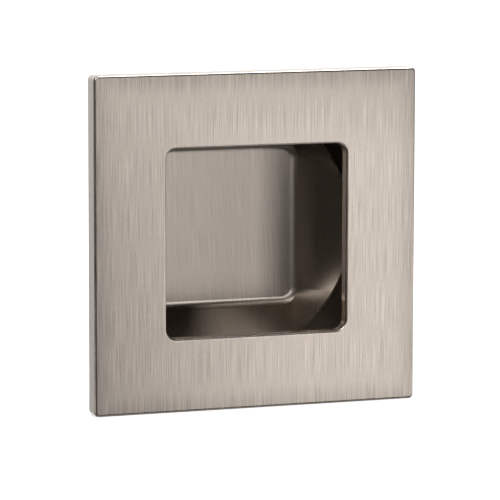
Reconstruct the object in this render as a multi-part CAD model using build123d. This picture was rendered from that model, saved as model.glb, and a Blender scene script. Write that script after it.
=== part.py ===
from build123d import *

import math
import os

# Square flush pull for a sliding or cupboard door, in millimetres.
# The origin is the middle of the plate's rear face, which lies on the door.
# +Y points into the door, +X to the right and +Z up, as seen from the room.

# Face plate
PLATE_SIDE = 70.0
PLATE_THICKNESS = 4.6
PLATE_CORNER_RADIUS = 1.0
PLATE_FRONT_ROUND = 0.5
PLATE_REAR_CHAMFER = 0.3

# Square mouth in the plate, where the fingers go in
MOUTH_SIDE = 39.3
MOUTH_CORNER_RADIUS = 2.2
MOUTH_ROUND = 0.5
MOUTH_LIP = 2.4

# Drawn cup behind the plate, round at the rim and square at its floor.
# The ledge is the step inside the shoulder, and the band is the flat wall left above the floor's fillet.
SHEET = 0.8
DRUM_OUTER_RADIUS = 28.0
SHOULDER_DEPTH = 17.0
SHOULDER_LEDGE = 0.3
FLOOR_DEPTH = 24.5
FLOOR_SIDE = 33.2
FLOOR_CORNER_RADIUS = 2.5
FLOOR_FILLET = 2.3
FLOOR_BAND = 0.2
FLANGE_WIDTH = 2.0

# Clearance round the cup's flange in the plate's rear seat
SEAT_CLEARANCE = 0.1

# Sizes worked out from those above
drum_inner_radius = DRUM_OUTER_RADIUS - SHEET
flange_radius = DRUM_OUTER_RADIUS + FLANGE_WIDTH
throat_radius = drum_inner_radius - SHOULDER_LEDGE


def at(depth):
    """The plane at this depth behind the plate's front face, looking into the door."""
    return Plane(origin=(0, depth - PLATE_THICKNESS, 0), x_dir=(1, 0, 0), z_dir=(0, 1, 0))


def prism(outline, start, end):
    """A solid with this outline from one depth to another."""
    return extrude(at(start) * outline, end - start)


def edges_at(solid, depth):
    """The solid's edges that lie wholly at this depth."""
    y = depth - PLATE_THICKNESS
    return solid.edges().filter_by_position(Axis.Y, y - 0.01, y + 0.01)


def square_loop(side, radius):
    """A rounded square as four sides and four corner arcs, in turn, from the right side's lower end."""
    reach = side / 2 - radius
    loop = []
    for turn in range(4):
        face = Rotation(0, 0, 90 * turn)
        loop.append(face * Line((side / 2, -reach), (side / 2, reach)))
        loop.append(face * CenterArc((reach, reach), radius, 0, 90))
    return loop


def circle_loop(radius, half_angle):
    """A circle as four wide arcs that face a square's sides and four that face its corners."""
    loop = []
    for turn in range(4):
        face = Rotation(0, 0, 90 * turn)
        loop.append(face * CenterArc((0, 0), radius, -half_angle, 2 * half_angle))
        loop.append(face * CenterArc((0, 0), radius, half_angle, 90 - 2 * half_angle))
    return loop


def square_to_round(radius, start, side, corner_radius, end):
    """A solid that is round at the start depth and square at the end, ruled straight between them."""
    half_angle = math.degrees(math.asin((side / 2 - corner_radius) / radius))
    sections = []
    for depth, loop in (
        (start, circle_loop(radius, half_angle)),
        (end, square_loop(side, corner_radius)),
    ):
        outline = Wire([piece.edge() for piece in loop])
        sections.append(at(depth) * outline)
    return Solid.make_loft(sections, ruled=True)


def tapered_cup(radius, start, side, corner_radius, round_radius, floor):
    """A solid that narrows from a circle at the start depth to a square floor with a rounded edge."""
    slope = math.atan2(radius - side / 2, floor - start)
    band = round_radius * (1 - math.sin(slope)) + FLOOR_BAND
    spread = band * math.tan(slope)
    base = extrude(
        at(floor) * RectangleRounded(side, side, corner_radius), -band, taper=-math.degrees(slope)
    )
    base = fillet(edges_at(base, floor), round_radius)
    walls = square_to_round(radius, start, side + 2 * spread, corner_radius + spread, floor - band)
    return base + walls


def make_face_plate():
    """The square plate, with its mouth, and the round seat for the cup in its rear."""
    plate = prism(RectangleRounded(PLATE_SIDE, PLATE_SIDE, PLATE_CORNER_RADIUS), 0, PLATE_THICKNESS)
    plate = fillet(edges_at(plate, 0), PLATE_FRONT_ROUND)
    plate = chamfer(edges_at(plate, PLATE_THICKNESS), PLATE_REAR_CHAMFER)
    plate -= prism(RectangleRounded(MOUTH_SIDE, MOUTH_SIDE, MOUTH_CORNER_RADIUS), 0, PLATE_THICKNESS)
    front = plate.faces().sort_by(Axis.Y)[0]
    plate = fillet(front.inner_wires()[0].edges(), MOUTH_ROUND)
    plate -= prism(Circle(flange_radius + SEAT_CLEARANCE), MOUTH_LIP, PLATE_THICKNESS)
    return plate


def make_cup():
    """The cup, drawn from one sheet, with its flange turned out round the rim."""
    hollow = prism(Circle(drum_inner_radius), MOUTH_LIP, SHOULDER_DEPTH)
    hollow += tapered_cup(
        throat_radius, SHOULDER_DEPTH, FLOOR_SIDE, FLOOR_CORNER_RADIUS, FLOOR_FILLET, FLOOR_DEPTH
    )

    # The outside lies one sheet's thickness off the walls at the middle of each side.
    slope = math.atan2(throat_radius - FLOOR_SIDE / 2, FLOOR_DEPTH - SHOULDER_DEPTH)
    step_out = SHEET / math.cos(slope) - SHEET * math.tan(slope)
    drum_step = throat_radius + SHEET / math.cos(slope) - DRUM_OUTER_RADIUS
    outer_shoulder = SHOULDER_DEPTH + drum_step / math.tan(slope)
    skin = prism(Circle(DRUM_OUTER_RADIUS), MOUTH_LIP, outer_shoulder)
    skin += tapered_cup(
        DRUM_OUTER_RADIUS,
        outer_shoulder,
        FLOOR_SIDE + 2 * step_out,
        FLOOR_CORNER_RADIUS + step_out,
        FLOOR_FILLET + SHEET,
        FLOOR_DEPTH + SHEET,
    )
    skin += prism(Circle(flange_radius), MOUTH_LIP, MOUTH_LIP + SHEET)
    return skin - hollow


def main():
    os.makedirs("parts", exist_ok=True)
    export_step(make_face_plate(), "parts/face_plate.step")
    export_step(make_cup(), "parts/cup.step")


main()
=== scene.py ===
import math

import bpy
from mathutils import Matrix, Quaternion, Vector

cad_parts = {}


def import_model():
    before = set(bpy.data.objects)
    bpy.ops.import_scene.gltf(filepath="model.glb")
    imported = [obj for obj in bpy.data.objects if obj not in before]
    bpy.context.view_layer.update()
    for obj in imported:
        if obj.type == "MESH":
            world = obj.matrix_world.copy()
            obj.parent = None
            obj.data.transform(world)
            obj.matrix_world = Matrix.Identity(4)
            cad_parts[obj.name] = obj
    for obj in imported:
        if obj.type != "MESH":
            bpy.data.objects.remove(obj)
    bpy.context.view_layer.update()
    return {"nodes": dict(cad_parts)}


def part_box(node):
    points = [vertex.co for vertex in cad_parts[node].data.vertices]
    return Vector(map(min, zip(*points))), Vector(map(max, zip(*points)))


# Looks of a square flush pull in brushed satin nickel, on a pale floor in soft studio light.
# Lengths are in metres and angles in degrees, in the frame of the solids.
# Azimuth 0 is straight ahead of the plate and 90 to its right; elevation is above the horizon.

MM = 0.001

# Camera: it stands to the left of the plate and a little above it.
CAMERA_AZIMUTH = -19.18
CAMERA_ELEVATION = 8.01
CAMERA_ROLL = 0.12
CAMERA_DISTANCE = 0.7224
CAMERA_LENS_MM = 252.0
CAMERA_SENSOR_MM = 36.0
CAMERA_AIM_X = -1.56 * MM
CAMERA_AIM_Z = -1.82 * MM
CAMERA_NEAREST = 0.01
CAMERA_FARTHEST = 100.0

# Satin nickel, and the grain that brushing leaves in it. The walls and the drum inside the cup have darker
# colours than the metal: painted shade, so that the hollow looks nearly black, with the walls' colour warmed
# by the tint of light bounced between them.
NICKEL = (0.70, 0.616, 0.543)
PLATE_ROUGHNESS = 0.3
PLATE_ANISOTROPY = 0.8
PLATE_EDGE_ROUGHNESS = 0.2
# Painted shade: the plate's colour darkens by this factor over a band this wide at its outer edges
PLATE_EDGE_PAINTED_SHADE = 0.8
PLATE_EDGE_PAINTED_SHADE_WIDTH = 5.0 * MM
CUP_FLOOR_ROUGHNESS = 0.38
CUP_WALL_ROUGHNESS = 0.5
# Painted shade: the cup's walls are darker than the metal and warmed with the tint of light bounced between
# them
CUP_WALL_PAINTED_SHADE = (0.4, 0.329, 0.266)
# Painted shade: the cup's drum behind the mouth is near black
CUP_DRUM_PAINTED_SHADE = (0.05, 0.038, 0.028)
CUP_ANISOTROPY = 0.8
CUP_GRAIN_SLANT = 3.5
CUP_SHEET = 0.8 * MM

# How squarely a face looks along Y, from 0 to 1, where one part of the surface gives way to the next
PLATE_EDGE_TO_FACE = (0.3, 0.95)
CUP_DRUM_TO_WALL = (0.3, 0.7)
CUP_WALL_TO_FLOOR = (0.85, 0.97)

# How far a face of the cup looks away from its axis, where the inside's painted shade gives way to the
# outside's plain metal colour
CUP_INSIDE_TO_OUTSIDE = (0.1, 0.3)

# How far a side face of the plate looks up or down to count as its top or bottom
PLATE_TOP_OR_BOTTOM = 0.7

# Streaks of the grain: width, length and share of the whole
STREAKS = (
    (0.13 * MM, 10.0 * MM, 0.72),
    (0.2 * MM, 1.0 * MM, 0.13),
    (0.4 * MM, 40.0 * MM, 0.12),
    (1.8 * MM, 60.0 * MM, 0.03),
)
STREAK_PATTERN_STEP = 7.0
STREAK_DETAIL = 1.0
STREAK_MEAN = 0.5
STREAK_SHADE = 1.5
STREAK_ROUGHNESS = 0.06
STREAK_BUMP = 0.004 * MM
PLATE_STREAKS = 1.0
CUP_STREAKS = 0.5

# Studio: the level that diffuse surfaces see, and what metal sees, as round patches
# with a centre's azimuth and elevation, an inner and an outer angle and a level.
WORLD_LEVEL = 0.8
ROOM_LEVEL = 0.01
ROOM_PATCHES = {
    "overhead": (12.0, 71.0, 7.0, 14.0, 1.1),
    "left": (-118.0, 0.0, 15.0, 45.0, 0.22),
    "near_left": (-42.0, -24.0, 14.0, 38.0, 0.085),
    "low": (10.0, -78.0, 15.0, 42.0, 0.5),
    "right": (98.0, -5.0, 12.0, 38.0, 0.5),
    "back": (157.0, 12.0, 32.0, 60.0, 1.15),
}

# Soft boxes: azimuth, elevation, distance, width, height and radiance
SOFT_BOXES = {
    "strip": (22.5, -12.5, 0.25, 0.058, 0.13, 2.05),
    "key": (49.0, -8.0, 0.25, 0.08, 0.12, 0.8),
    "side": (67.0, -12.0, 0.25, 0.07, 0.057, 1.8),
    "front": (4.0, 4.0, 1.0, 0.26, 0.2, 5.4),
    "top": (115.0, 65.0, 1.2, 0.48, 0.48, 9.0),
    "corner": (-44.0, 43.0, 0.5, 0.16, 0.14, 15.0),
    "rim": (-98.0, -16.0, 1.0, 0.16, 0.16, 4.0),
}

# Floor
FLOOR_SIDE = 8.0
FLOOR_COLOUR = (0.88, 0.88, 0.88, 1.0)
FLOOR_WHITE = 0.3


def direction(azimuth, elevation):
    """The way from the plate towards a place round it."""
    a, e = math.radians(azimuth), math.radians(elevation)
    return Vector((math.sin(a) * math.cos(e), -math.cos(a) * math.cos(e), math.sin(e)))


def make_camera(front_y):
    """The camera at the photograph's angle, aimed at a point on the plate's front face."""
    back = direction(CAMERA_AZIMUTH, CAMERA_ELEVATION)
    data = bpy.data.cameras.new("camera")
    data.sensor_width = CAMERA_SENSOR_MM
    data.lens = CAMERA_LENS_MM
    data.clip_start, data.clip_end = CAMERA_NEAREST, CAMERA_FARTHEST
    camera = bpy.data.objects.new("camera", data)
    camera.location = Vector((CAMERA_AIM_X, front_y, CAMERA_AIM_Z)) + back * CAMERA_DISTANCE
    camera.rotation_mode = "QUATERNION"
    roll = Quaternion((0, 0, 1), math.radians(CAMERA_ROLL))
    camera.rotation_quaternion = (-back).to_track_quat("-Z", "Y") @ roll
    bpy.context.scene.collection.objects.link(camera)
    bpy.context.scene.camera = camera


class Tree:
    """A node tree being built: each method adds one node and gives back its output."""

    def __init__(self, owner):
        owner.use_nodes = True
        self.nodes = owner.node_tree.nodes
        self.links = owner.node_tree.links
        self.nodes.clear()

    def node(self, kind, *inputs, **settings):
        made = self.nodes.new(kind)
        for name, value in settings.items():
            setattr(made, name, value)
        for socket, value in zip(made.inputs, inputs):
            self.put(socket, value)
        return made

    def put(self, socket, value):
        if isinstance(value, bpy.types.NodeSocket):
            self.links.new(value, socket)
        elif value is not None:
            socket.default_value = value

    def number(self, operation, *inputs):
        return self.node("ShaderNodeMath", *inputs, operation=operation).outputs[0]

    def vector(self, operation, *inputs):
        made = self.node("ShaderNodeVectorMath", *inputs, operation=operation)
        return made.outputs["Value" if operation in ("LENGTH", "DOT_PRODUCT") else "Vector"]

    def scaled(self, vector, factor):
        made = self.node("ShaderNodeVectorMath", operation="SCALE")
        self.put(made.inputs[0], vector)
        self.put(made.inputs["Scale"], factor)
        return made.outputs["Vector"]

    def ramp(self, value, low, high, start, end):
        """Goes smoothly from the start to the end as the value goes from low to high."""
        made = self.node("ShaderNodeMapRange", value, low, high, start, end)
        made.interpolation_type = "SMOOTHSTEP"
        return made.outputs["Result"]

    def blend(self, share, first, second):
        """The first vector where the share is 0 and the second where it is 1."""
        made = self.node("ShaderNodeMix", share, data_type="VECTOR")
        first_in, second_in = [socket for socket in made.inputs if socket.enabled][1:]
        self.put(first_in, first)
        self.put(second_in, second)
        return [socket for socket in made.outputs if socket.enabled][0]

    def combined(self, x, y, z):
        return self.node("ShaderNodeCombineXYZ", x, y, z).outputs["Vector"]


def plate_surface(tree):
    """The way across the plate's grain, the places across and along it, the roughness and the colour, with
    painted shade towards the plate's outer edges.
    """
    geometry = tree.node("ShaderNodeNewGeometry")
    upward = tree.vector("DOT_PRODUCT", geometry.outputs["True Normal"], (0, 0, 1))
    flat_edge = tree.number("GREATER_THAN", tree.number("ABSOLUTE", upward), PLATE_TOP_OR_BOTTOM)
    front = tree.number("SUBTRACT", 1.0, flat_edge)
    across = tree.combined(front, 1.0, 0.0)
    place = tree.node("ShaderNodeSeparateXYZ", geometry.outputs["Position"])
    x, y, z = place.outputs
    u = tree.number("ADD", tree.number("MULTIPLY", x, front), y)
    v = tree.number("ADD", tree.number("MULTIPLY", x, flat_edge), tree.number("MULTIPLY", z, front))
    facing = tree.number("ABSOLUTE", tree.vector("DOT_PRODUCT", geometry.outputs["Normal"], (0, 1, 0)))
    roughness = tree.ramp(facing, *PLATE_EDGE_TO_FACE, PLATE_EDGE_ROUGHNESS, PLATE_ROUGHNESS)
    out = tree.number("MAXIMUM", tree.number("ABSOLUTE", x), tree.number("ABSOLUTE", z))
    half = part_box("face_plate")[1].x
    # Painted shade: the colour darkens towards the plate's outer edges
    shade = tree.ramp(out, half - PLATE_EDGE_PAINTED_SHADE_WIDTH, half, 1.0, PLATE_EDGE_PAINTED_SHADE)
    return across, u, v, roughness, tree.scaled(NICKEL, shade)


def cup_surface(tree):
    """The same for the cup: its grain runs up the floor and follows the sheet out along the walls, and its
    walls and drum have painted shade in their colour.
    """
    slant = math.radians(CUP_GRAIN_SLANT)
    side = (math.cos(slant), 0, math.sin(slant))
    up = (-math.sin(slant), 0, math.cos(slant))
    floor_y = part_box("cup")[1].y - CUP_SHEET
    geometry = tree.node("ShaderNodeNewGeometry")
    position = geometry.outputs["Position"]
    depth = tree.vector("DOT_PRODUCT", position, (0, 1, 0))
    above = tree.number("MAXIMUM", tree.number("SUBTRACT", floor_y, depth), 0.0)
    flat = tree.vector("MULTIPLY", position, (1, 0, 1))
    reach = tree.vector("LENGTH", flat)
    sideways = tree.vector("DOT_PRODUCT", flat, side)
    drawn = tree.number("DIVIDE", above, reach)
    lean = tree.number("DIVIDE", sideways, reach)
    inward = tree.number("DIVIDE", tree.number("MULTIPLY", lean, drawn), reach)
    stretch = tree.number("ADD", drawn, 1.0)
    across = tree.vector("SUBTRACT", tree.scaled(side, stretch), tree.combined(0.0, lean, 0.0))
    across = tree.vector("SUBTRACT", across, tree.scaled(flat, inward))
    u = tree.number("MULTIPLY", sideways, stretch)
    v = tree.number("MULTIPLY", tree.vector("DOT_PRODUCT", flat, up), stretch)
    facing = tree.number("ABSOLUTE", tree.vector("DOT_PRODUCT", geometry.outputs["Normal"], (0, 1, 0)))
    roughness = tree.ramp(facing, *CUP_WALL_TO_FLOOR, CUP_WALL_ROUGHNESS, CUP_FLOOR_ROUGHNESS)
    wall = tree.ramp(facing, *CUP_DRUM_TO_WALL, 0.0, 1.0)
    # Painted shade: the drum and walls inside the cup take their dark colours here, while the floor and the
    # outside keep the plain metal
    colour = tree.blend(wall, CUP_DRUM_PAINTED_SHADE, CUP_WALL_PAINTED_SHADE)
    colour = tree.blend(tree.ramp(facing, *CUP_WALL_TO_FLOOR, 0.0, 1.0), colour, NICKEL)
    outward = tree.number("DIVIDE", tree.vector("DOT_PRODUCT", geometry.outputs["Normal"], flat), reach)
    colour = tree.blend(tree.ramp(outward, *CUP_INSIDE_TO_OUTSIDE, 0.0, 1.0), colour, NICKEL)
    return across, u, v, roughness, colour


def grain(tree, u, v):
    """Brushed streaks along v, as a value that varies about the streaks' mean."""
    total = None
    for k, (width, length, share) in enumerate(STREAKS):
        across, along = tree.number("DIVIDE", u, width), tree.number("DIVIDE", v, length)
        place = tree.combined(across, along, STREAK_PATTERN_STEP * k)
        noise = tree.node("ShaderNodeTexNoise", place)
        noise.inputs["Scale"].default_value = 1.0
        noise.inputs["Detail"].default_value = STREAK_DETAIL
        part = tree.number("MULTIPLY", noise.outputs[0], share)
        total = part if total is None else tree.number("ADD", total, part)
    return total


def nickel(name, surface, anisotropy, strength):
    """Brushed nickel whose highlight spreads across the grain."""
    material = bpy.data.materials.new(name)
    tree = Tree(material)
    way, u, v, roughness, colour = surface(tree)
    streak = tree.number("SUBTRACT", grain(tree, u, v), STREAK_MEAN)
    streak = tree.number("MULTIPLY", streak, strength)
    shade = tree.number("MULTIPLY_ADD", streak, STREAK_SHADE, 1.0)
    shader = tree.node("ShaderNodeBsdfPrincipled")
    tree.put(shader.inputs["Base Color"], tree.scaled(colour, shade))
    shader.inputs["Metallic"].default_value = 1.0
    tree.put(shader.inputs["Roughness"], tree.number("MULTIPLY_ADD", streak, STREAK_ROUGHNESS, roughness))
    shader.inputs["Anisotropic"].default_value = anisotropy
    tree.put(shader.inputs["Tangent"], way)
    bump = tree.node("ShaderNodeBump")
    bump.inputs["Distance"].default_value = STREAK_BUMP
    tree.put(bump.inputs["Height"], streak)
    tree.put(shader.inputs["Normal"], bump.outputs["Normal"])
    tree.node("ShaderNodeOutputMaterial", shader.outputs["BSDF"])
    return material


def make_world():
    """An even pale world that the camera sees as white, with a dark room of soft patches that metal sees."""
    world = bpy.data.worlds.new("studio")
    bpy.context.scene.world = world
    world.cycles.sampling_method = "NONE"
    tree = Tree(world)
    way = tree.node("ShaderNodeTexCoord").outputs["Generated"]
    room = ROOM_LEVEL
    for azimuth, elevation, inner, outer, level in ROOM_PATCHES.values():
        near = tree.vector("DOT_PRODUCT", way, tuple(direction(azimuth, elevation)))
        edge = math.cos(math.radians(outer)), math.cos(math.radians(inner))
        share = tree.ramp(near, *edge, 0.0, 1.0)
        more = tree.number("SUBTRACT", level, room)
        room = tree.number("MULTIPLY_ADD", share, more, room)
    ray = tree.node("ShaderNodeLightPath").outputs
    metal = tree.number("MULTIPLY", ray["Is Glossy Ray"], tree.number("SUBTRACT", room, WORLD_LEVEL))
    seen = tree.number("MAXIMUM", ray["Is Camera Ray"], ray["Is Transmission Ray"])
    seen = tree.number("MULTIPLY", seen, 1.0 - WORLD_LEVEL)
    strength = tree.number("ADD", tree.number("ADD", metal, seen), WORLD_LEVEL)
    background = tree.node("ShaderNodeBackground", (1, 1, 1, 1), strength)
    tree.node("ShaderNodeOutputWorld", background.outputs["Background"])


def make_soft_boxes():
    """Area lamps round the object, each aimed at its middle and hidden from the camera."""
    for name, (azimuth, elevation, distance, width, height, radiance) in SOFT_BOXES.items():
        data = bpy.data.lights.new(name, "AREA")
        data.shape = "RECTANGLE"
        data.size, data.size_y = width, height
        data.energy = radiance * math.pi * width * height
        lamp = bpy.data.objects.new(name, data)
        way = direction(azimuth, elevation)
        lamp.location = way * distance
        lamp.visible_camera = False
        lamp.rotation_mode = "QUATERNION"
        lamp.rotation_quaternion = way.to_track_quat("Z", "Y")
        bpy.context.scene.collection.objects.link(lamp)


def make_floor(height):
    """A pale floor under the object, white to the camera, that metal doesn't see and that casts no shadow."""
    half = FLOOR_SIDE / 2
    mesh = bpy.data.meshes.new("floor")
    corners = [(-half, -half, height), (half, -half, height), (half, half, height), (-half, half, height)]
    mesh.from_pydata(corners, [], [(0, 1, 2, 3)])
    floor = bpy.data.objects.new("floor", mesh)
    bpy.context.scene.collection.objects.link(floor)
    floor.visible_glossy = False
    floor.visible_shadow = False
    material = bpy.data.materials.new("floor_pale")
    tree = Tree(material)
    paint = tree.node("ShaderNodeBsdfDiffuse", FLOOR_COLOUR)
    seen = tree.node("ShaderNodeLightPath").outputs["Is Camera Ray"]
    glow = tree.node("ShaderNodeEmission", (1, 1, 1, 1), tree.number("MULTIPLY", seen, FLOOR_WHITE))
    both = tree.node("ShaderNodeAddShader", paint.outputs[0], glow.outputs[0])
    tree.node("ShaderNodeOutputMaterial", both.outputs[0])
    mesh.materials.append(material)


def main():
    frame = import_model()
    bpy.context.scene.view_settings.view_transform = "Standard"
    make_camera(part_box("face_plate")[0].y)
    make_world()
    make_soft_boxes()
    make_floor(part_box("face_plate")[0].z)
    plate, cup = frame["nodes"]["face_plate"], frame["nodes"]["cup"]
    plate.material_slots[0].material = nickel("plate_nickel", plate_surface, PLATE_ANISOTROPY, PLATE_STREAKS)
    cup.material_slots[0].material = nickel("cup_nickel", cup_surface, CUP_ANISOTROPY, CUP_STREAKS)


main()
